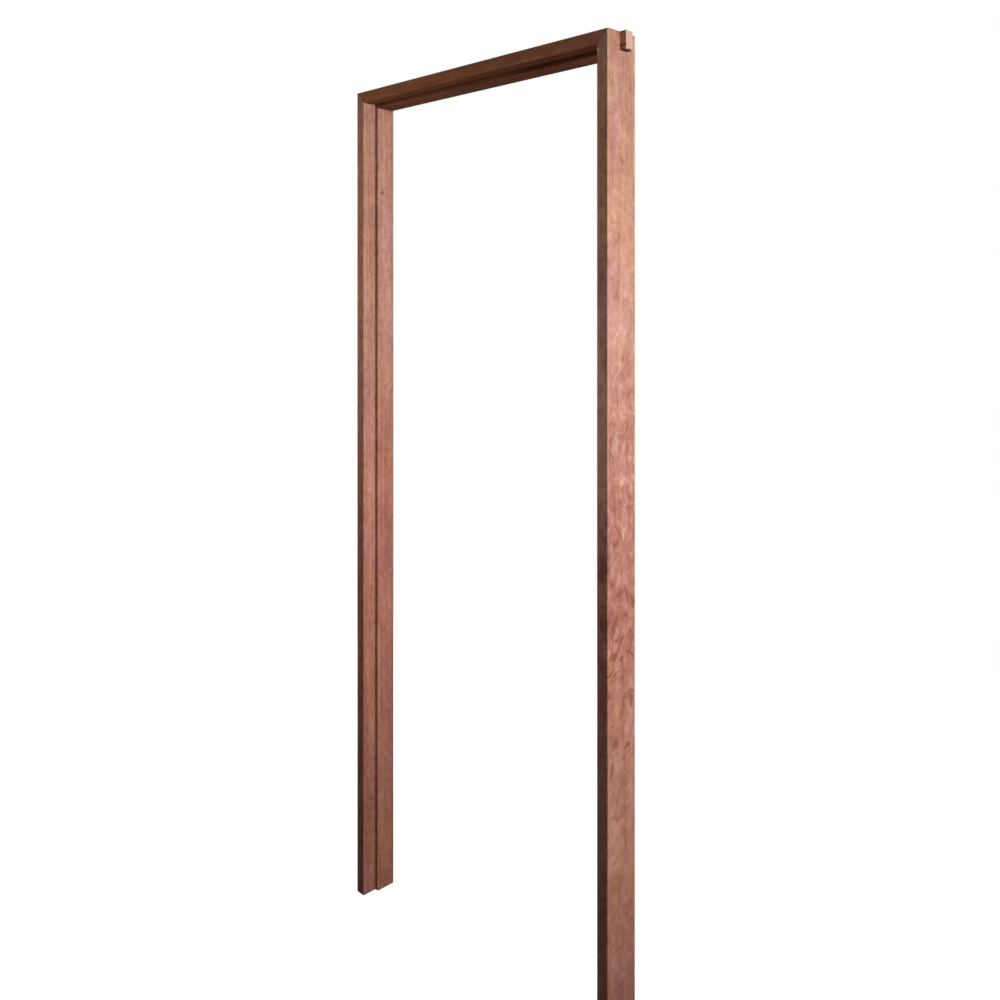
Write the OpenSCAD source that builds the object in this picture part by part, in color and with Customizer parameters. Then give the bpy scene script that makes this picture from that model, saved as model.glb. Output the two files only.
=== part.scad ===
// Rebated hardwood door frame: two jambs and a head, with no sill.
// All three members are planed to one section. A rebate runs along the front of it
// for the door leaf, and the wood left behind the rebate is the stop that the leaf closes on.
// Each top corner is an open mortise in the jamb with a through tenon on the head.
// In front of the tenon the faces meet in a mitre, and behind it the head has a square shoulder.
// The front of the frame faces -Y, up is +Z, and the origin is on the floor,
// halfway between the jambs and halfway through their depth.

/* [Frame] */
// Width over the outer faces of the two jambs
frame_w = 824; // [600:1:1400]
// Height from the floor to the top of the head
frame_h = 2066; // [1800:1:2700]

/* [Section] */
// Depth of each member, from the front face to the back face
stock_d = 90; // [85:1:150]
// Thickness of each member, from the wall side to the stop
stock_t = 38; // [34:1:60]
// How far the stop stands in from the rebate
rebate_depth = 10; // [6:1:14]
// Width of the rebate, from the front face back to the stop
rebate_w = 38; // [30:1:45]
// Radius of the eased arrises
ease_r = 1.5; // [0.5:0.25:3]

/* [Corner joint] */
// Thickness of the tenon, from its front cheek to its back cheek
tenon_t = 22; // [16:1:26]
// How far the tenon's end stands out past the jamb
tenon_proud = 16; // [1:1:30]
// Diameter of the dowel that pins the tenon
dowel_dia = 10; // [6:1:12]
// Wood left between the dowel's inner end and the tenon's front cheek
dowel_stop = 3; // [2:1:8]
// Chamfer around the dowel's inner end
dowel_chamfer = 1.5; // [0.5:0.25:2]

/* [Hidden] */
$fn = 48;
jamb_colour = [0.64, 0.41, 0.34];
head_colour = [0.45, 0.28, 0.20];
dowel_colour = [0.79, 0.62, 0.46];
over = 1;
lamina_t = stock_t - rebate_depth;
tenon_back = rebate_w + tenon_t;
past_tenon = tenon_proud + over;
past_joint = stock_t + over;
dowel_len = stock_d - rebate_w - dowel_stop;
dowel_inset = stock_t / 2;

// What planing takes off one square corner of the section.
// inward points from the corner into the wood, one unit along each axis.
module arris_waste(corner, inward) {
    outside = corner - over * inward;
    centre = corner + ease_r * inward;
    difference() {
        polygon([outside, [centre.x, outside.y], centre, [outside.x, centre.y]]);
        translate(centre) circle(ease_r);
    }
}

// Section of every member: x runs from the wall side in towards the doorway,
// and y from the front face back. The arrises are eased, the rebate's inner corner is sharp.
module section() {
    difference() {
        square([stock_t, stock_d]);
        translate([lamina_t, -over]) square([rebate_depth + over, rebate_w + over]);
        arris_waste([0, 0], [1, 1]);
        arris_waste([lamina_t, 0], [-1, 1]);
        arris_waste([stock_t, rebate_w], [-1, 1]);
        arris_waste([stock_t, stock_d], [-1, -1]);
        arris_waste([0, stock_d], [1, -1]);
    }
}

// Moves a shape to the left top corner of the frame, where x runs in from the jamb's
// outer face, y back from the front face and z up from the top of the head
module at_left_corner() {
    translate([-frame_w / 2, -stock_d / 2, frame_h]) children();
}

// Block with the given outline, as seen from the front, between two depths
module block(outline, near, far) {
    translate([0, far, 0])
        rotate([90, 0, 0])
            linear_extrude(far - near) polygon(outline);
}

// Open mortise and mitre: what the saw takes from the top of the left jamb
module jamb_joint_waste() {
    mitre = [[-over, over], [past_joint, over], [past_joint, -past_joint]];
    mortise = [[-over, over], [past_joint, over], [past_joint, -stock_t], [-over, -stock_t]];
    block(mitre, -over, rebate_w);
    block(mortise, rebate_w, tenon_back);
}

// Mitre and back shoulder: what the saw takes from the left end of the head.
// The tenon is left between them, over the full thickness of the head.
module head_joint_waste() {
    mitre = [[-past_tenon, over], [-over, over], [past_joint, -past_joint],
             [-past_tenon, -past_joint]];
    shoulder = [[-past_tenon, over], [stock_t, over], [stock_t, -past_joint],
                [-past_tenon, -past_joint]];
    block(mitre, -over, rebate_w);
    block(shoulder, tenon_back, stock_d + over);
}

// Blind hole for the dowel, bored from the back face through the middle of the joint
module dowel_bore() {
    translate([dowel_inset, stock_d + over, -dowel_inset])
        rotate([90, 0, 0])
            cylinder(h = dowel_len + over, d = dowel_dia);
}

// Dowel in its bore, flush with the back face, with its inner end chamfered
module dowel() {
    tip_d = dowel_dia - 2 * dowel_chamfer;
    color(dowel_colour)
        at_left_corner()
            translate([dowel_inset, stock_d, -dowel_inset])
                rotate([90, 0, 0]) {
                    cylinder(h = dowel_len - dowel_chamfer, d = dowel_dia);
                    translate([0, 0, dowel_len - dowel_chamfer])
                        cylinder(h = dowel_chamfer, d1 = dowel_dia, d2 = tip_d);
                }
}

// Left jamb, standing on the floor with its end grain flush with the top of the head
module jamb() {
    color(jamb_colour)
        difference() {
            translate([-frame_w / 2, -stock_d / 2, 0]) linear_extrude(frame_h) section();
            at_left_corner() {
                jamb_joint_waste();
                dowel_bore();
            }
        }
}

module left_jamb() {
    jamb();
}

module right_jamb() {
    mirror([1, 0, 0]) jamb();
}

// Head, with its wall side up and a tenon at each end
module head() {
    head_len = frame_w + 2 * tenon_proud;
    color(head_colour)
        difference() {
            translate([-head_len / 2, -stock_d / 2, frame_h])
                rotate([0, 90, 0])
                    linear_extrude(head_len) section();
            for (side = [0, 1])
                mirror([side, 0, 0])
                    at_left_corner() {
                        head_joint_waste();
                        dowel_bore();
                    }
        }
}

module left_dowel() {
    dowel();
}

module right_dowel() {
    mirror([1, 0, 0]) dowel();
}

left_jamb();
right_jamb();
head();
left_dowel();
right_dowel();
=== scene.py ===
import math

import bpy
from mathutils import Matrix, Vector


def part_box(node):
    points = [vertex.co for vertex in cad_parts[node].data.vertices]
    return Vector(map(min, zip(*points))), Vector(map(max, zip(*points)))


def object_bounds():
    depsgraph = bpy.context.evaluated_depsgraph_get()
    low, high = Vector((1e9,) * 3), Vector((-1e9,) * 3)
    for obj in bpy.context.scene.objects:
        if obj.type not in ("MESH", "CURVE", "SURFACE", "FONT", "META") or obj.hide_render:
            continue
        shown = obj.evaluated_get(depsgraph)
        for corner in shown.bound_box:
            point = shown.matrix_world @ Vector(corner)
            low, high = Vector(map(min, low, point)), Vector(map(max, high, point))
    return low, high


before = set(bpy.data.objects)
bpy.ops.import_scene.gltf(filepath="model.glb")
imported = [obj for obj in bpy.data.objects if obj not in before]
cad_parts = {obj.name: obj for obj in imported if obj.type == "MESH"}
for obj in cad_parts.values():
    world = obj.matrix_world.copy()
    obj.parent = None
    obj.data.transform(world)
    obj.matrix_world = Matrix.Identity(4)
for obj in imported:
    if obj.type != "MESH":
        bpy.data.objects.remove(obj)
cadLow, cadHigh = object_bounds()
print("frame loaded")

# the section that all three members are planed to, in metres
section = {
    "thickness": 0.038,
    "depth": 0.090,
    "rebateDepth": 0.010,
    "rebateWidth": 0.038,
}
jambLow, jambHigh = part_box("right_jamb")
# where the faces lie: outer and inner faces of the jambs, front face, stop, top of the head
outerSide = jambHigh[0]
stopSide = outerSide - section["thickness"]
front = jambLow[1]
stopFront = front + section["rebateWidth"]
top = cadHigh[2]


# camera

# the picture is square, and the camera is level and looks from the right of the doorway
cameraSettings = {
    "place": (1.6053, -1.5475, 1.5039),
    "turnLeft": 44.86,       # degrees from straight ahead
    "focalPixels": 960.3,
    "horizonRow": 310.4,     # row of the picture on which the horizon lies
    "pictureSize": 1000,
    "sensor": 36.0,
    "nearest": 0.05,
    "farthest": 200,
}


def makeCamera(settings):
    data = bpy.data.cameras.new("photoCamera")
    data.sensor_width = settings["sensor"]
    data.lens = settings["sensor"] * settings["focalPixels"] / settings["pictureSize"]
    data.shift_y = settings["horizonRow"] / settings["pictureSize"] - 0.5
    data.clip_start = settings["nearest"]
    data.clip_end = settings["farthest"]
    camera = bpy.data.objects.new("photoCamera", data)
    camera.location = settings["place"]
    camera.rotation_euler = (math.radians(90), 0, math.radians(settings["turnLeft"]))
    bpy.context.scene.collection.objects.link(camera)
    bpy.context.scene.camera = camera


makeCamera(cameraSettings)
print("camera placed")


# node helpers

def put(tree, kind, properties=None, **inputs):
    # adds a node, sets its properties, and sets or links its inputs by name
    node = tree.nodes.new(kind)
    for name, value in (properties or {}).items():
        setattr(node, name, value)
    for name, value in inputs.items():
        feed(tree, node.inputs[name.replace("_", " ")], value)
    return node


def feed(tree, socket, value):
    # links a socket to an input, or writes a plain value into it
    if isinstance(value, bpy.types.NodeSocket):
        tree.links.new(value, socket)
    else:
        socket.default_value = value


def maths(tree, operation, *values, clamp=False):
    node = put(tree, "ShaderNodeMath", {"operation": operation, "use_clamp": clamp})
    for socket, value in zip(node.inputs, values):
        feed(tree, socket, value)
    return node.outputs[0]


def vectorMaths(tree, operation, *values):
    # for the operations that give one number
    node = put(tree, "ShaderNodeVectorMath", {"operation": operation})
    for socket, value in zip(node.inputs, values):
        feed(tree, socket, value)
    return node.outputs["Value"]


def diagonal(tree, first, second):
    # length of the step that goes this far along two axes
    squares = maths(tree, "ADD", maths(tree, "MULTIPLY", first, first),
                    maths(tree, "MULTIPLY", second, second))
    return maths(tree, "SQRT", squares)


def centred(tree, value, gain):
    # turns a pattern of 0 to 1 into a change to either side of nothing
    return maths(tree, "MULTIPLY_ADD", value, gain, -gain / 2)


def ramp(tree, value, low, high, toLow=0.0, toHigh=1.0, smooth=True):
    # maps low..high to toLow..toHigh and holds the ends
    node = put(tree, "ShaderNodeMapRange",
               {"interpolation_type": "SMOOTHSTEP" if smooth else "LINEAR", "clamp": True})
    for name, number in zip(("Value", "From Min", "From Max", "To Min", "To Max"),
                            (value, low, high, toLow, toHigh)):
        feed(tree, node.inputs[name], number)
    return node.outputs["Result"]


def stretch(tree, place, scale, offset=(0, 0, 0), turn=(0, 0, 0)):
    # turns the coordinates that a pattern reads, then scales and moves them
    turned = put(tree, "ShaderNodeMapping", {"vector_type": "POINT"}, Vector=place,
                 Rotation=tuple(math.radians(angle) for angle in turn))
    return put(tree, "ShaderNodeMapping", {"vector_type": "POINT"},
               Vector=turned.outputs[0], Scale=scale, Location=offset).outputs[0]


def pattern(tree, place, look):
    # noise with the scale, offset, turn, detail, roughness and distortion of its dictionary
    spot = stretch(tree, place, look["scale"], look.get("offset", (0, 0, 0)),
                   look.get("turn", (0, 0, 0)))
    node = put(tree, "ShaderNodeTexNoise", {"noise_dimensions": "3D"}, Vector=spot, Scale=1.0,
               Detail=look.get("detail", 2), Roughness=look.get("roughness", 0.5),
               Distortion=look.get("distortion", 0.0))
    return node.outputs["Fac"]


# a Mix node's sockets for the share and the two colours, and for the mixed colour
mixInputs = (0, 6, 7)
mixOutput = 2


def blendColour(tree, share, first, second, mode="MIX"):
    node = put(tree, "ShaderNodeMix", {"data_type": "RGBA", "blend_type": mode,
                                       "clamp_factor": True})
    for socket, value in zip(mixInputs, (share, first, second)):
        feed(tree, node.inputs[socket], value)
    return node.outputs[mixOutput]


def tone(colour, share=1.0):
    return (*[share * part for part in colour], 1.0)


def tinted(tree, colour, share, first, second):
    # multiplies a colour by the first tint, the second one or a mix of them
    tint = blendColour(tree, share, tone(first), tone(second))
    return blendColour(tree, 1.0, colour, tint, "MULTIPLY")


def newMaterial(name):
    material = bpy.data.materials.new(name)
    material.use_nodes = True
    material.node_tree.nodes.clear()
    return material


# wood

# colours are linear, lengths are metres, and ribbon to dapple say how strongly each pattern
# shows; the pith is the middle of the tree that the member was sawn from, across the grain
rightJambWood = {
    "grain": "upright",
    "dark": (0.345, 0.140, 0.100),
    "middle": (0.520, 0.250, 0.182),
    "pale": (0.690, 0.400, 0.312),
    "endGrain": (0.560, 0.325, 0.240),
    "pith": (0.16, 0.24),
    "ringSpacing": 0.0065,
    "ribbon": 0.55,
    "streak": 0.40,
    "cloud": 0.90,
    "dapple": 0.80,
    "seed": 3.0,
}
leftJambWood = {
    "grain": "upright",
    "dark": (0.315, 0.128, 0.092),
    "middle": (0.478, 0.228, 0.170),
    "pale": (0.630, 0.355, 0.280),
    "endGrain": (0.560, 0.325, 0.240),
    "pith": (0.20, -0.28),
    "ringSpacing": 0.0065,
    "ribbon": 0.70,
    "streak": 0.80,
    "cloud": 0.70,
    "dapple": 1.00,
    "seed": 7.0,
}
headWood = {
    "grain": "across",
    "dark": (0.222, 0.082, 0.048),
    "middle": (0.385, 0.156, 0.094),
    "pale": (0.530, 0.250, 0.165),
    "endGrain": (0.720, 0.490, 0.390),
    "pith": (0.30, -0.10),
    "ringSpacing": 0.0080,
    "ribbon": 0.90,
    "streak": 0.90,
    "cloud": 0.60,
    "dapple": 0.50,
    "seed": 11.0,
}
dowelWood = {
    "grain": "through",
    "dark": (0.420, 0.250, 0.150),
    "middle": (0.600, 0.400, 0.260),
    "pale": (0.740, 0.540, 0.380),
    "endGrain": (0.640, 0.430, 0.280),
    "pith": (0.02, 0.02),
    "ringSpacing": 0.0020,
    "ribbon": 0.40,
    "streak": 0.30,
    "cloud": 0.30,
    "dapple": 0.20,
    "seed": 23.0,
}
# turns that bring the grain of each kind of member onto the pattern's z
grainTurn = {"upright": (0, 0, 0), "across": (0, -90, 0), "through": (90, 0, 0)}
grainAxis = {"upright": (0, 0, 1), "across": (1, 0, 0), "through": (0, 1, 0)}

# patterns of the wood in repeats a metre, where z runs along the grain
layers = {
    "wander": {"scale": (5, 5, 0.9)},
    "ribbon": {"scale": (62, 62, 2.0), "detail": 3, "roughness": 0.55},
    "streak": {"scale": (230, 230, 6), "detail": 3, "roughness": 0.6},
    "fibre": {"scale": (900, 900, 24), "detail": 3, "roughness": 0.6},
    "pore": {"scale": (1500, 1500, 90), "detail": 1, "roughness": 0.4},
    "cloud": {"scale": (24, 24, 9), "detail": 3},
    "dapple": {"scale": (80, 80, 60), "detail": 3, "roughness": 0.6},
    "hue": {"scale": (11, 11, 4), "offset": (2, 9, 4)},
    "endSpeck": {"scale": (1100, 1100, 300)},
    "saw": {"scale": (60, 900, 60), "turn": (0, 0, 35)},
    "arrisWander": {"scale": (30, 30, 14), "detail": 3},
    "rim": {"scale": (160, 160, 110), "detail": 3},
}
# what all members share: a pair of values is where a soft step starts and where it is full
fineGrain = {
    "wander": 0.05,          # how far the rings wander sideways along the member
    "lateWood": (0.45, 0.92),
    "ringEnd": (1.0, 0.94),
    "ring": 0.07,            # how much darker the late wood is
    "fibre": 0.30,
    "poreStep": (0.60, 0.72),
    "pore": 0.40,            # how far a pore takes on its own colour
    "poreColour": 0.45,      # that colour as a share of the dark wood's
    "hueStep": (0.34, 0.66),
    "browner": (1.02, 1.03, 0.90),
    "pinker": (0.99, 0.97, 1.05),
}
endGrain = {
    "facingStep": (0.8, 0.95),   # how squarely a surface has to cut the grain
    "speckStep": (0.50, 0.72),
    "speck": 0.40,
    "ring": 0.30,
    "saw": 0.5,
    "sawBase": -0.2,
}
surface = {
    "relief": {"fibre": 0.5, "pore": -0.6, "streak": 0.35, "saw": 0.8},
    "bump": 0.35,
    "bumpHeight": 0.0006,
    "roughness": 0.78,
    "fibreRoughness": 0.16,
    "endRoughness": 0.1,
    "refraction": 1.45,
    "specular": 0.10,
}
# painted light and shade: on the jambs the wood is tinted paler at the top, where the light is
# strongest, and redder towards the feet, where the shade deepens; tints above the first height and
# below the second
lightAndShadeTint = {
    "paleAbove": 1.50,
    "redBelow": 0.95,
    "upper": (0.985, 1.035, 1.06),
    "lower": (1.02, 0.89, 0.88),
}
# what handling and gluing leave on all three members, with a painted highlight on the arrises and
# painted shade in the rebate's corner
handlingAndPaintedLight = {
    "paleArrisWidth": 0.0038,      # how far in from an arris the wood is rubbed paler and carries a painted highlight
    "paleArrisStep": (1.0, 0.15),
    # how much paler the arrises are, partly rubbed wear and partly painted highlight
    "wornAndHighlit": 0.24,
    "freshTenon": 0.40,      # how much paler the sawn tenon is where it stands proud
    "edge": 0.001,           # width of the step at the edge of a face
    "cornerWidth": 0.0048,   # the line of dust and painted shade in the rebate's inner corner
    "cornerDark": 0.62,
    "jointWidth": 0.0007,    # the dark line where two members meet
    "mitreStep": (1.4, 0.5),     # shares of that width
    "shoulderStep": (1.0, 0.3),
    "jointDark": 0.70,
    "cornerAndJointColour": 0.25,      # colour of the dust and painted shade in the corner and of the joints, as a share of the dark wood's
}
# the curly figure in the right jamb, strongest between two heights
figure = {
    "low": 0.38,
    "lowFull": 0.72,
    "highFull": 1.18,
    "high": 1.50,
    "elsewhere": 0.42,       # its share above and below
    "darker": 0.08,          # how far it takes the wood down as a whole
    # paler lengths of the jamb: middle height, half length and how much paler
    "lifts": ((0.50, 0.42, 0.26), (1.41, 0.16, 0.14)),
    "liftFull": 0.3,         # share of the half length over which a lift is full
    "blotch": 1.45,
    "curl": 0.32,
    "curlStep": (0.54, 0.70),
    "shadow": 0.52,
    "shadowStep": (0.44, 0.30),
    "speckle": 0.35,
}
# its patterns, which slant back from upright by this many degrees
slant = (20, 0, 0)
figureLayers = {
    "blotch": {"scale": (19, 21, 15), "offset": (5, 2, 1), "turn": slant,
               "detail": 3, "roughness": 0.55, "distortion": 1.2},
    "curl": {"scale": (26, 25, 22), "offset": (1, 8, 3), "turn": slant, "distortion": 1.3},
    "speckle": {"scale": (150, 120, 120), "offset": (4, 1, 6), "roughness": 0.6},
}

# marks are soft ellipsoids: middle, half sizes, turn about x in degrees, colour, strength,
# and how far the rim strays as a share of the half sizes
markStep = (1.15, 0.55)
figureShade = (0.290, 0.108, 0.078)
# colour of the painted shade and shadow on the head
deepShade = (0.085, 0.028, 0.016)
rightJambMarks = {
    "scratch": {"at": (outerSide, -0.0218, 0.7798), "half": (0.004, 0.0145, 0.0011), "turn": 19,
                "colour": (0.80, 0.56, 0.48), "strength": 0.75, "ragged": 0.5},
    "fleck": {"at": (outerSide, -0.0040, 0.7467), "half": (0.004, 0.0036, 0.0011), "turn": -24,
              "colour": (0.80, 0.58, 0.50), "strength": 0.7, "ragged": 0.5},
    # a pale spot on the right jamb's front face at the foot of the mitre
    "paleSpot": {"at": (outerSide - 0.0252, front, 2.0270), "half": (0.0026, 0.004, 0.0058), "turn": 0,
               "colour": (0.74, 0.70, 0.62), "strength": 0.85, "ragged": 0.45},
    "scuff": {"at": (outerSide - 0.0272, front, 0.7650), "half": (0.0040, 0.005, 0.0140), "turn": 0,
              "colour": (0.56, 0.46, 0.37), "strength": 0.40, "ragged": 0.8},
    "paleHigh": {"at": (outerSide, -0.022, 1.234), "half": (0.006, 0.011, 0.030), "turn": -15,
                 "colour": (0.78, 0.50, 0.42), "strength": 0.32, "ragged": 0.9},
    "paleCurl": {"at": (outerSide, 0.001, 1.157), "half": (0.006, 0.009, 0.013), "turn": -35,
                 "colour": (0.80, 0.49, 0.36), "strength": 0.45, "ragged": 0.9},
    "paleFleck": {"at": (outerSide, 0.004, 1.050), "half": (0.006, 0.0035, 0.015), "turn": 12,
                  "colour": (0.84, 0.58, 0.50), "strength": 0.42, "ragged": 0.8},
    "paleEdge": {"at": (outerSide, -0.031, 1.003), "half": (0.006, 0.009, 0.042), "turn": 0,
                 "colour": (0.80, 0.51, 0.43), "strength": 0.32, "ragged": 0.9},
    "paleBlot": {"at": (outerSide, -0.018, 0.853), "half": (0.006, 0.007, 0.015), "turn": -25,
                 "colour": (0.78, 0.47, 0.38), "strength": 0.44, "ragged": 0.9},
    "darkCurl": {"at": (outerSide, 0.017, 0.925), "half": (0.006, 0.006, 0.024), "turn": 18,
                 "colour": figureShade, "strength": 0.62, "ragged": 0.9},
    "darkBack": {"at": (outerSide, 0.031, 0.831), "half": (0.006, 0.007, 0.028), "turn": -18,
                 "colour": figureShade, "strength": 0.55, "ragged": 0.9},
    "darkStreak": {"at": (outerSide, -0.008, 0.826), "half": (0.006, 0.004, 0.030), "turn": -32,
                   "colour": figureShade, "strength": 0.62, "ragged": 0.7},
    "darkLow": {"at": (outerSide, 0.001, 0.697), "half": (0.006, 0.007, 0.020), "turn": -20,
                "colour": figureShade, "strength": 0.45, "ragged": 0.9},
    "paleLow": {"at": (outerSide, -0.006, 0.610), "half": (0.006, 0.007, 0.036), "turn": 0,
                "colour": (0.74, 0.44, 0.33), "strength": 0.35, "ragged": 0.9},
    "frontPale": {"at": (outerSide - 0.016, front, 1.230), "half": (0.022, 0.004, 0.160), "turn": 0,
                  "colour": (0.70, 0.44, 0.34), "strength": 0.45, "ragged": 0.6},
    # painted shade: the right jamb's front face is darkened towards the foot, where the light falls
    # off
    "frontPaintedShade": {"at": (outerSide - 0.016, front, 0.560), "half": (0.022, 0.004, 0.520), "turn": 0,
                   "colour": (0.210, 0.085, 0.058), "strength": 0.50, "ragged": 0.5},
}
leftJambMarks = {
    "knotHalo": {"at": (-stopSide, 0.0080, 1.8115), "half": (0.008, 0.0090, 0.0125), "turn": 10,
                 "colour": (0.330, 0.135, 0.095), "strength": 0.42, "ragged": 0.6},
    "knot": {"at": (-stopSide, 0.0078, 1.8103), "half": (0.008, 0.0062, 0.0034), "turn": 10,
             "colour": (0.190, 0.075, 0.050), "strength": 0.78, "ragged": 0.4},
}
headMarks = {
    # painted shadow under the tenon where it stands proud of the jamb
    "underTenonPaintedShadow": {"at": (outerSide + 0.0080, 0.0040, top - 0.0375),
                   "half": (0.011, 0.0135, 0.0030), "turn": 0,
                   "colour": deepShade, "strength": 0.85, "ragged": 0.35},
    # painted shade along the head's step, where the rebate's soffit shades it
    "stepPaintedShade": {"at": (0.0, stopFront, top - 0.0325), "half": (0.520, 0.0030, 0.0070),
                  "turn": 0, "colour": deepShade, "strength": 0.60, "ragged": 0.3},
}


def sectionPlace(tree, where, grain):
    # how far a point lies in from the jamb's outer face, down from the top, and, across its
    # own member, in from the wall side and back from the front face
    axes = put(tree, "ShaderNodeSeparateXYZ", Vector=where).outputs
    fromSide = maths(tree, "SUBTRACT", outerSide, maths(tree, "ABSOLUTE", axes["X"]))
    fromTop = maths(tree, "SUBTRACT", top, axes["Z"])
    return {
        "fromSide": fromSide,
        "fromTop": fromTop,
        "inward": fromTop if grain == "across" else fromSide,
        "back": maths(tree, "ADD", axes["Y"], section["depth"] / 2),
    }


def nearLine(tree, spot, corner):
    # distance across the section from one of its corners
    return diagonal(tree, maths(tree, "SUBTRACT", spot["inward"], corner[0]),
                    maths(tree, "SUBTRACT", spot["back"], corner[1]))


def arrisWearAndHighlight(tree, spot, place):
    # 1 on an arris and 0 a few millimetres in from it, broken up along its length: paler rubbed wear
    # and a painted highlight
    thick = section["thickness"]
    deep = section["depth"]
    lamina = thick - section["rebateDepth"]
    nearest = nearLine(tree, spot, (0, 0))
    for corner in ((lamina, 0), (thick, section["rebateWidth"]), (thick, deep), (0, deep)):
        nearest = maths(tree, "MINIMUM", nearest, nearLine(tree, spot, corner))
    width = maths(tree, "MULTIPLY", pattern(tree, place, layers["arrisWander"]),
                  2 * handlingAndPaintedLight["paleArrisWidth"])
    return ramp(tree, maths(tree, "DIVIDE", nearest, width), *handlingAndPaintedLight["paleArrisStep"])


def jointLines(tree, spot):
    # 1 on the hairline where head and jamb meet: the mitre in front, the square shoulder behind
    edge = handlingAndPaintedLight["edge"]
    mitreLow, mitreHigh = [share * handlingAndPaintedLight["jointWidth"] for share in handlingAndPaintedLight["mitreStep"]]
    backLow, backHigh = [share * handlingAndPaintedLight["jointWidth"] for share in handlingAndPaintedLight["shoulderStep"]]
    offMitre = maths(tree, "ABSOLUTE", maths(tree, "SUBTRACT", spot["fromSide"], spot["fromTop"]))
    mitre = ramp(tree, offMitre, mitreLow, mitreHigh)
    inFront = ramp(tree, spot["back"], section["rebateWidth"] + edge, section["rebateWidth"])
    offShoulder = maths(tree, "ABSOLUTE",
                        maths(tree, "SUBTRACT", spot["fromSide"], section["thickness"]))
    shoulder = ramp(tree, offShoulder, backLow, backHigh)
    atHead = ramp(tree, spot["fromTop"], section["thickness"] + edge, section["thickness"])
    behind = maths(tree, "SUBTRACT", 1.0, inFront)
    shoulder = maths(tree, "MULTIPLY", maths(tree, "MULTIPLY", shoulder, atHead), behind)
    return maths(tree, "MAXIMUM", maths(tree, "MULTIPLY", mitre, inFront), shoulder)


def cornerDustAndShade(tree, spot):
    # 1 in the inner corner of the rebate, fading to 0 over the width of the line of dust and painted
    # shade
    corner = (section["thickness"] - section["rebateDepth"], section["rebateWidth"])
    return ramp(tree, nearLine(tree, spot, corner), handlingAndPaintedLight["cornerWidth"], 0.0)


def markShare(tree, where, mark):
    # 1 inside the mark's ellipsoid, fading to 0 over its ragged rim
    local = put(tree, "ShaderNodeMapping", {"vector_type": "TEXTURE"}, Vector=where,
                Location=mark["at"], Scale=mark["half"],
                Rotation=(math.radians(mark["turn"]), 0, 0))
    reach = maths(tree, "ADD", vectorMaths(tree, "LENGTH", local.outputs[0]),
                  centred(tree, pattern(tree, where, layers["rim"]), 2 * mark["ragged"]))
    return maths(tree, "MULTIPLY", ramp(tree, reach, *markStep), mark["strength"])


def figureLevel(tree, where):
    # how much paler or darker the slanting figure makes the wood between its two heights, plus the
    # paler lengths listed with it
    height = put(tree, "ShaderNodeSeparateXYZ", Vector=where).outputs["Z"]
    inside = maths(tree, "MULTIPLY", ramp(tree, height, figure["low"], figure["lowFull"]),
                   ramp(tree, height, figure["high"], figure["highFull"]))
    inside = ramp(tree, inside, 0.0, 1.0, figure["elsewhere"], 1.0, smooth=False)
    blotch = pattern(tree, where, figureLayers["blotch"])
    curl = pattern(tree, where, figureLayers["curl"])
    speckle = pattern(tree, where, figureLayers["speckle"])
    change = maths(tree, "SUBTRACT", centred(tree, blotch, figure["blotch"]), figure["darker"])
    change = maths(tree, "ADD", change,
                   ramp(tree, curl, *figure["curlStep"], 0.0, figure["curl"]))
    change = maths(tree, "SUBTRACT", change,
                   ramp(tree, curl, *figure["shadowStep"], 0.0, figure["shadow"]))
    change = maths(tree, "ADD", change, centred(tree, speckle, figure["speckle"]))
    change = maths(tree, "MULTIPLY", inside, change)
    for middle, half, paler in figure["lifts"]:
        away = maths(tree, "ABSOLUTE", maths(tree, "SUBTRACT", height, middle))
        lift = ramp(tree, away, half, half * figure["liftFull"], 0.0, paler)
        change = maths(tree, "ADD", change, lift)
    return change


def ringShare(tree, wood, place):
    # 1 in the dark late wood of each growth ring around the pith
    wander = centred(tree, pattern(tree, place, layers["wander"]), fineGrain["wander"])
    axes = put(tree, "ShaderNodeSeparateXYZ", Vector=place).outputs
    fromPith = [maths(tree, "SUBTRACT", maths(tree, "ADD", axes[axis], wander),
                      wood["seed"] + pith) for axis, pith in zip("XY", wood["pith"])]
    turns = maths(tree, "DIVIDE", diagonal(tree, *fromPith), wood["ringSpacing"])
    phase = maths(tree, "FRACT", turns)
    return maths(tree, "MULTIPLY", ramp(tree, phase, *fineGrain["lateWood"]),
                 ramp(tree, phase, *fineGrain["ringEnd"]))


def woodPatterns(tree, wood, place):
    # each pattern of the wood at this place, from 0 to 1
    seen = {name: pattern(tree, place, layers[name])
            for name in ("ribbon", "streak", "fibre", "cloud", "dapple", "saw")}
    seen["pore"] = ramp(tree, pattern(tree, place, layers["pore"]), *fineGrain["poreStep"])
    seen["ring"] = ringShare(tree, wood, place)
    return seen


def grainLevel(tree, wood, seen):
    # share from dark to pale: stripes, clouds, streaks and dapples, then fibres and rings
    level = 0.5
    for name in ("ribbon", "cloud", "streak", "dapple"):
        level = maths(tree, "ADD", level, centred(tree, seen[name], wood[name]))
    level = maths(tree, "ADD", level, centred(tree, seen["fibre"], fineGrain["fibre"]))
    return maths(tree, "SUBTRACT", level, maths(tree, "MULTIPLY", seen["ring"], fineGrain["ring"]))


def levelColour(tree, wood, level):
    # dark at 0, middle at a half and pale at 1
    lower = blendColour(tree, ramp(tree, level, 0.0, 0.5, smooth=False),
                        tone(wood["dark"]), tone(wood["middle"]))
    return blendColour(tree, ramp(tree, level, 0.5, 1.0, smooth=False), lower,
                       tone(wood["pale"]))


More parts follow.
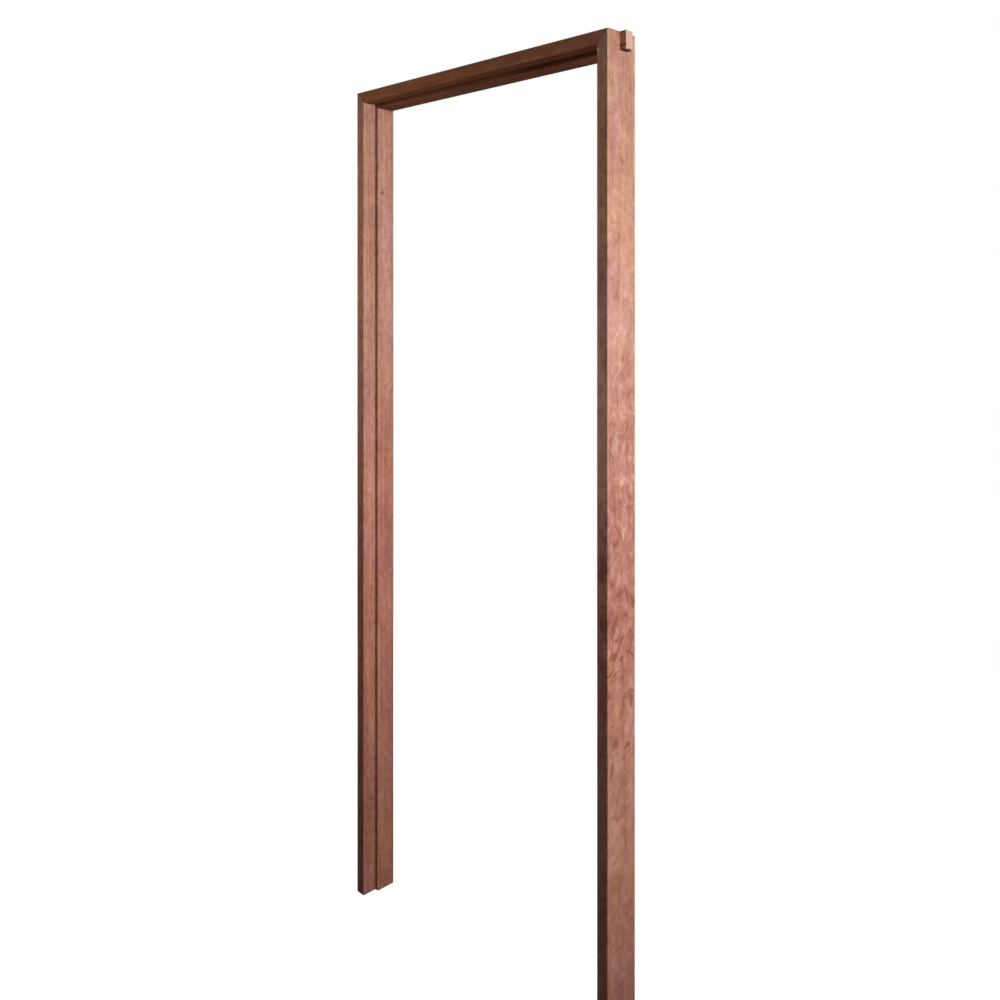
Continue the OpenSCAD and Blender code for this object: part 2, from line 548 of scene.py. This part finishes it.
def hueAndLightColour(tree, wood, where, place, colour):
    # pinker and browner patches, and on a jamb painted light and shade: redder towards the foot and
    # paler at the top
    hue = pattern(tree, place, layers["hue"])
    colour = tinted(tree, colour, ramp(tree, hue, *fineGrain["hueStep"]),
                    fineGrain["browner"], fineGrain["pinker"])
    if wood["grain"] != "upright":
        return colour
    height = put(tree, "ShaderNodeSeparateXYZ", Vector=where).outputs["Z"]
    # painted shade towards the feet and painted light at the top
    footShadeShare = ramp(tree, height, lightAndShadeTint["paleAbove"], lightAndShadeTint["redBelow"])
    return tinted(tree, colour, footShadeShare, lightAndShadeTint["upper"], lightAndShadeTint["lower"])


def endShare(tree, wood, facing):
    # 1 where the surface faces along the grain
    along = vectorMaths(tree, "DOT_PRODUCT", facing, grainAxis[wood["grain"]])
    return ramp(tree, maths(tree, "ABSOLUTE", along), *endGrain["facingStep"])


def endColour(tree, wood, place, seen):
    speck = ramp(tree, pattern(tree, place, layers["endSpeck"]), *endGrain["speckStep"])
    shade = maths(tree, "ADD", maths(tree, "MULTIPLY", speck, endGrain["speck"]),
                  maths(tree, "MULTIPLY", seen["ring"], endGrain["ring"]))
    sawn = maths(tree, "MULTIPLY_ADD", seen["saw"], endGrain["saw"], endGrain["sawBase"])
    shade = maths(tree, "ADD", shade, sawn, clamp=True)
    return blendColour(tree, shade, tone(wood["endGrain"]), tone(wood["middle"]))


def woodNormal(tree, seen, ends):
    # relief of pores, fibres and streaks, and of the saw on the ends
    relief = surface["relief"]
    height = maths(tree, "MULTIPLY_ADD", seen["fibre"], relief["fibre"],
                   maths(tree, "MULTIPLY", seen["pore"], relief["pore"]))
    height = maths(tree, "ADD", height, maths(tree, "MULTIPLY", seen["streak"], relief["streak"]))
    sawn = maths(tree, "MULTIPLY", maths(tree, "MULTIPLY", seen["saw"], ends), relief["saw"])
    return put(tree, "ShaderNodeBump", Strength=surface["bump"], Distance=surface["bumpHeight"],
               Height=maths(tree, "ADD", height, sawn)).outputs[0]


def woodMaterial(name, wood, marks, figured=False):
    # solid wood, then end grain, paler arrises of wear and painted highlight, dust and painted shade
    # in the corner, joint lines and marks
    material = newMaterial(name)
    tree = material.node_tree
    coordinate = put(tree, "ShaderNodeTexCoord").outputs
    where = coordinate["Object"]
    seed = wood["seed"]
    place = stretch(tree, where, (1, 1, 1), (seed, seed, 0), grainTurn[wood["grain"]])
    spot = sectionPlace(tree, where, wood["grain"])
    member = wood["grain"] != "through"
    seen = woodPatterns(tree, wood, place)

    level = grainLevel(tree, wood, seen)
    if figured:
        level = maths(tree, "ADD", level, figureLevel(tree, where))
    if member:
        # paler arrises: rubbed wear and a painted highlight
        wornAndHighlit = maths(tree, "MULTIPLY", arrisWearAndHighlight(tree, spot, place), handlingAndPaintedLight["wornAndHighlit"])
        level = maths(tree, "ADD", level, wornAndHighlit)
    if wood["grain"] == "across":
        fresh = ramp(tree, spot["fromSide"], handlingAndPaintedLight["edge"], -handlingAndPaintedLight["edge"],
                     0.0, handlingAndPaintedLight["freshTenon"])
        level = maths(tree, "ADD", level, fresh)

    colour = hueAndLightColour(tree, wood, where, place, levelColour(tree, wood, level))
    colour = blendColour(tree, maths(tree, "MULTIPLY", seen["pore"], fineGrain["pore"]), colour,
                         tone(wood["dark"], fineGrain["poreColour"]))
    ends = endShare(tree, wood, coordinate["Normal"])
    colour = blendColour(tree, ends, colour, endColour(tree, wood, place, seen))
    if member:
        # dust and painted shade in the rebate's corner, and the dark joint lines
        dustAndShade = maths(tree, "MULTIPLY", cornerDustAndShade(tree, spot), handlingAndPaintedLight["cornerDark"])
        line = maths(tree, "MULTIPLY", jointLines(tree, spot), handlingAndPaintedLight["jointDark"])
        colour = blendColour(tree, maths(tree, "MAXIMUM", dustAndShade, line), colour,
                             tone(wood["dark"], handlingAndPaintedLight["cornerAndJointColour"]))
    for mark in marks.values():
        colour = blendColour(tree, markShare(tree, where, mark), colour, tone(mark["colour"]))

    rough = maths(tree, "MULTIPLY_ADD", seen["fibre"], surface["fibreRoughness"],
                  surface["roughness"])
    rough = maths(tree, "ADD", rough, maths(tree, "MULTIPLY", ends, surface["endRoughness"]))
    shader = put(tree, "ShaderNodeBsdfPrincipled", Base_Color=colour, Roughness=rough,
                 Normal=woodNormal(tree, seen, ends), IOR=surface["refraction"],
                 Specular_IOR_Level=surface["specular"])
    put(tree, "ShaderNodeOutputMaterial", Surface=shader.outputs[0])
    return material


def dress(node, material):
    # gives a CAD node its finish in every material slot it has
    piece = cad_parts[node]
    if piece.data.materials:
        for index in range(len(piece.data.materials)):
            piece.data.materials[index] = material
    else:
        piece.data.materials.append(material)


dress("left_jamb", woodMaterial("leftJambWood", leftJambWood, leftJambMarks))
dress("right_jamb", woodMaterial("rightJambWood", rightJambWood, rightJambMarks, figured=True))
dress("head", woodMaterial("headWood", headWood, headMarks))
dowelMaterial = woodMaterial("dowelWood", dowelWood, {})
dress("left_dowel", dowelMaterial)
dress("right_dowel", dowelMaterial)
print("wood finished")


# floor, lamps and world

floorSettings = {
    "halfSide": 20.0,
    "colour": (0.60, 0.60, 0.59),
    "glow": 0.93,            # what the camera sees of the floor without any lamp
    "bounceColour": (0.07, 0.067, 0.064),
    "fadeFrom": 1.6,         # beyond this distance the floor fades into the background
    "fadeTo": 3.2,
}
lamps = {
    "window": {"from": (5.9, -0.79, 2.0), "at": (0.41, 0, 1.56), "side": 0.35, "power": 19.2,
               "spread": 41, "colour": (1.0, 1.0, 0.99), "mirrored": True},
    "frontFill": {"from": (-1.6, -0.9, 1.65), "at": (-0.43, -0.045, 1.62), "side": 0.5,
                  "power": 3.0, "spread": 95, "colour": (1.0, 0.80, 0.57), "mirrored": False},
    "rearFill": {"from": (-3.4, 3.0, 2.4), "at": (0, 0, 1.2), "side": 3.0, "power": 65,
                 "spread": 100, "colour": (0.97, 0.985, 1.0), "mirrored": False},
    "topFill": {"from": (0, 0, 5.0), "at": (0, 0, 2), "side": 0.8, "power": 1.8,
                "spread": 60, "colour": (1.0, 1.0, 1.0), "mirrored": False},
}
worldSettings = {"light": 0.015, "reflected": 1.0, "background": 1.0}
white = (1, 1, 1, 1)


def mixShaders(tree, share, first, second):
    node = put(tree, "ShaderNodeMixShader", Fac=share)
    feed(tree, node.inputs[1], first.outputs[0])
    feed(tree, node.inputs[2], second.outputs[0])
    return node


def makeFloor(settings):
    # the floor shows nearly white with the object's shadow, and sends back little light
    half = settings["halfSide"]
    mesh = bpy.data.meshes.new("floor")
    mesh.from_pydata([(-half, -half, 0), (half, -half, 0), (half, half, 0), (-half, half, 0)],
                     [], [(0, 1, 2, 3)])
    floor = bpy.data.objects.new("floor", mesh)
    bpy.context.scene.collection.objects.link(floor)
    material = newMaterial("floor")
    tree = material.node_tree
    place = put(tree, "ShaderNodeTexCoord").outputs["Object"]
    far = ramp(tree, vectorMaths(tree, "LENGTH", place), settings["fadeFrom"],
               settings["fadeTo"])
    paths = put(tree, "ShaderNodeLightPath").outputs
    shown = maths(tree, "MAXIMUM", paths["Is Camera Ray"],
                  maths(tree, "MAXIMUM", paths["Is Glossy Ray"], paths["Is Transmission Ray"]))
    matt = put(tree, "ShaderNodeBsdfDiffuse", Color=tone(settings["colour"]))
    glow = put(tree, "ShaderNodeEmission", Color=white, Strength=settings["glow"])
    lit = put(tree, "ShaderNodeAddShader")
    feed(tree, lit.inputs[0], matt.outputs[0])
    feed(tree, lit.inputs[1], glow.outputs[0])
    backdrop = put(tree, "ShaderNodeEmission", Color=white, Strength=1.0)
    bounce = put(tree, "ShaderNodeBsdfDiffuse", Color=tone(settings["bounceColour"]))
    faded = mixShaders(tree, far, lit, backdrop)
    whole = mixShaders(tree, shown, bounce, faded)
    put(tree, "ShaderNodeOutputMaterial", Surface=whole.outputs[0])
    mesh.materials.append(material)


def makeLamp(name, settings):
    data = bpy.data.lights.new(name, "AREA")
    data.energy = settings["power"]
    data.color = settings["colour"]
    data.shape = "SQUARE"
    data.size = settings["side"]
    data.spread = math.radians(settings["spread"])
    lamp = bpy.data.objects.new(name, data)
    lamp.visible_camera = False
    lamp.visible_glossy = settings["mirrored"]
    lamp.location = settings["from"]
    aim = Vector(settings["at"]) - lamp.location
    lamp.rotation_euler = aim.to_track_quat("-Z", "Y").to_euler()
    bpy.context.scene.collection.objects.link(lamp)


def makeWorld(settings):
    # a faint even light, which the camera and mirrored rays see as white
    world = bpy.data.worlds.new("studio")
    world.use_nodes = True
    tree = world.node_tree
    tree.nodes.clear()
    paths = put(tree, "ShaderNodeLightPath").outputs
    mirrored = maths(tree, "MAXIMUM", paths["Is Glossy Ray"], paths["Is Transmission Ray"])
    strength = ramp(tree, mirrored, 0.0, 1.0, settings["light"], settings["reflected"],
                    smooth=False)
    strength = ramp(tree, paths["Is Camera Ray"], 0.0, 1.0, strength, settings["background"],
                    smooth=False)
    background = put(tree, "ShaderNodeBackground", Color=white, Strength=strength)
    put(tree, "ShaderNodeOutputWorld", Surface=background.outputs[0])
    bpy.context.scene.world = world


makeFloor(floorSettings)
for lampName, lampSettings in lamps.items():
    makeLamp(lampName, lampSettings)
makeWorld(worldSettings)
bpy.context.scene.view_settings.view_transform = "Standard"
print("floor, lamps and world ready")
